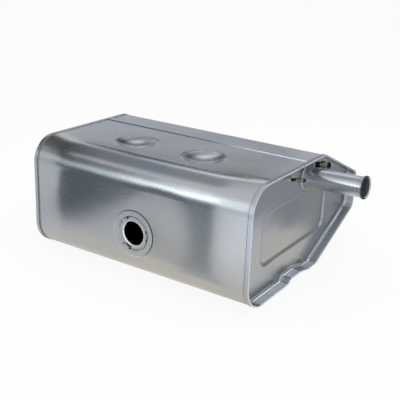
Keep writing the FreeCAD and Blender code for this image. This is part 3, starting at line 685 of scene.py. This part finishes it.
def makeFlag(name, corners, tone):
    # dark or bright studio card that only polished surfaces show
    piece = makeStage(name, corners)
    material = bpy.data.materials.new(name + "Cloth")
    material.use_nodes = True
    tree = material.node_tree
    tree.nodes.remove(tree.nodes["Principled BSDF"])
    glow = addNode(tree, "ShaderNodeEmission", (0, 0))
    fillSockets(glow, {"Color": (*tone, 1)})
    fillSockets(tree.nodes["Material Output"], {"Surface": glow.outputs[0]})
    piece.data.materials.append(material)
    piece.visible_camera = False
    piece.visible_diffuse = False
    piece.visible_transmission = False
    piece.visible_shadow = False


def standingCard(centre, facing, width, height):
    # corners of an upright or tilted card that faces a point
    way = (Vector(facing) - Vector(centre)).normalized()
    level = Vector((0, 0, 1)).cross(way).normalized()
    rise = way.cross(level)
    return [Vector(centre) + level * (width / 2 * a) + rise * (height / 2 * b) for a, b in cornerTurns]


flagTones = {
    "near": (0.14, 0.17, 0.195), "far": (0.14, 0.17, 0.195), "stripe": (0.38, 0.42, 0.465),
    "foot": (0.66, 0.69, 0.72), "rear": (0.45, 0.465, 0.50), "sheen": (1.30, 1.36, 1.48),
    "low": (0.08, 0.10, 0.115), "dark": (0.09, 0.095, 0.10), "shade": (0.26, 0.275, 0.30),
    "haze": (0.42, 0.44, 0.48), "back": (0.71, 0.73, 0.79), "teal": (0.66, 0.84, 0.88),
    "bright": (1.8, 1.9, 2.0),
}
matHeight = floorHeight + 0.0004  # just over the floor
mats = {
    "near": [(-0.53, -0.25), (-0.35, -0.265), (-0.29, -0.40), (-0.38, -0.60), (-0.76, -0.60)],
    "far": [(-0.74, -0.56), (0.01, -0.58), (-0.19, -1.66), (-1.20, -1.20)],
    "stripe": [(0.03, -0.25), (0.185, -0.25), (0.03, -0.62), (-0.24, -0.62), (-0.13, -0.42)],
    "foot": [(0.075, -0.16), (0.22, -0.16), (0.185, -0.25), (0.03, -0.25)],
    "rear": [(0.34, 0.36), (1.30, 0.20), (1.60, 1.40), (0.10, 1.90)],
    "sheen": [(0.18, -0.34), (0.60, -0.34), (0.60, -1.10), (0.10, -1.10)],
}
for matName, outline in mats.items():
    matCorners = [(across, back, matHeight) for across, back in outline]
    makeFlag(matName + "_mat", matCorners, flagTones[matName])

tankMiddle = Vector((0.0, 0.10, 0.13))
cards = {  # centre, the point that it faces, width, height, tone
    "front_low_flag": ((-0.90, -1.32, 0.16), (0.0, -0.12, 0.16), 1.6, 0.36, "low"),
    "rear_low_flag": ((1.0, 1.6, 0.16), (0.2, 0.3, 0.16), 1.6, 0.36, "rear"),
    "rear_mid_flag": ((1.0, 1.6, 0.58), (0.26, 0.1, 0.1), 1.5, 0.46, "low"),
    "left_teal_card": ((-0.95, -0.93, 0.36), (-0.2, -0.11, 0.24), 0.45, 0.22, "teal"),
    "neck_bright_card": ((-0.60, -1.24, 0.99), (0.30, 0.13, 0.22), 0.40, 0.32, "bright"),
    "end_bright_card": ((0.06, -1.26, 0.60), (0.25, -0.11, 0.24), 0.40, 0.66, "bright"),
    "dish_bright_card": ((-1.10, 1.50, 1.90), tankMiddle, 0.9, 0.6, "bright"),
    "left_front_flag": ((-1.12, -0.75, 0.82), (-0.1, -0.11, 0.24), 0.9, 0.5, "dark"),
    "left_upper_flag": ((-1.26, -0.02, 1.05), tankMiddle, 1.2, 0.75, "dark"),
    "left_upper_haze": ((-0.68, 0.05, 1.62), tankMiddle, 1.3, 1.0, "haze"),
    "rear_upper_flag": ((-0.80, 1.20, 1.10), tankMiddle, 1.0, 0.6, "dark"),
    "rear_upper_shade": ((0.10, 1.45, 1.15), tankMiddle, 0.8, 0.6, "shade"),
    "right_upper_haze": ((1.0, 0.4, 1.35), tankMiddle, 1.0, 0.9, "haze"),
    "back_card": ((-1.17, 1.95, 0.62), tankMiddle, 3.2, 0.95, "back"),
}
for cardName, (centre, facing, width, height, tone) in cards.items():
    makeFlag(cardName, standingCard(centre, facing, width, height), flagTones[tone])

lamps = {
    "keySoftbox": {"place": (-0.31, -1.20, 0.55), "size": (0.90, 0.36), "power": 2.25, "tilt": 14,
                   "color": (0.89, 0.985, 1.03), "mirrored": True},
    "rearSoftbox": {"place": (1.0, 1.5, 1.1), "size": (0.9, 0.5), "power": 2.4, "tilt": 0,
                    "color": (0.96, 1.0, 1.02), "mirrored": True},
    "topSoftbox": {"place": (0.2, 0.1, 2.4), "size": (1.6, 1.2), "power": 16, "tilt": 0,
                   "color": (1.0, 1.0, 1.0), "mirrored": False},
}
for lampName, lamp in lamps.items():
    data = bpy.data.lights.new(lampName, "AREA")
    data.shape = "RECTANGLE"
    data.size, data.size_y = lamp["size"]
    data.energy = lamp["power"]
    data.color = lamp["color"]
    holder = bpy.data.objects.new(lampName, data)
    holder.location = lamp["place"]
    holder.rotation_mode = "QUATERNION"
    aim = (tankMiddle - Vector(lamp["place"])).to_track_quat("-Z", "Y")
    holder.rotation_quaternion = aim @ Quaternion((0, 0, 1), math.radians(lamp["tilt"]))
    holder.visible_glossy = lamp["mirrored"]
    scene.collection.objects.link(holder)
print("floor, background, flags and lamps placed")

photoView = {
    "place": (0.88394, -1.24315, 0.69755), "yaw": 32.73, "pitch": 19.91, "roll": 2.35,
    "lens": 66.70, "sensor": 36.0,
}
yaw, pitch, roll = (math.radians(photoView[key]) for key in ("yaw", "pitch", "roll"))
back = Vector((math.sin(yaw) * math.cos(pitch), -math.cos(yaw) * math.cos(pitch), math.sin(pitch)))
level = Vector((math.cos(yaw), math.sin(yaw), 0))
upright = back.cross(level)
right = level * math.cos(roll) + upright * math.sin(roll)
up = upright * math.cos(roll) - level * math.sin(roll)
camera = bpy.data.objects.new("photoCamera", bpy.data.cameras.new("photoCamera"))
camera.data.lens = photoView["lens"]
camera.data.sensor_width = photoView["sensor"]
turn = Matrix((right, up, back)).transposed().to_4x4()
camera.matrix_world = Matrix.Translation(Vector(photoView["place"])) @ turn
scene.collection.objects.link(camera)
scene.camera = camera
print("camera placed as in the photo")
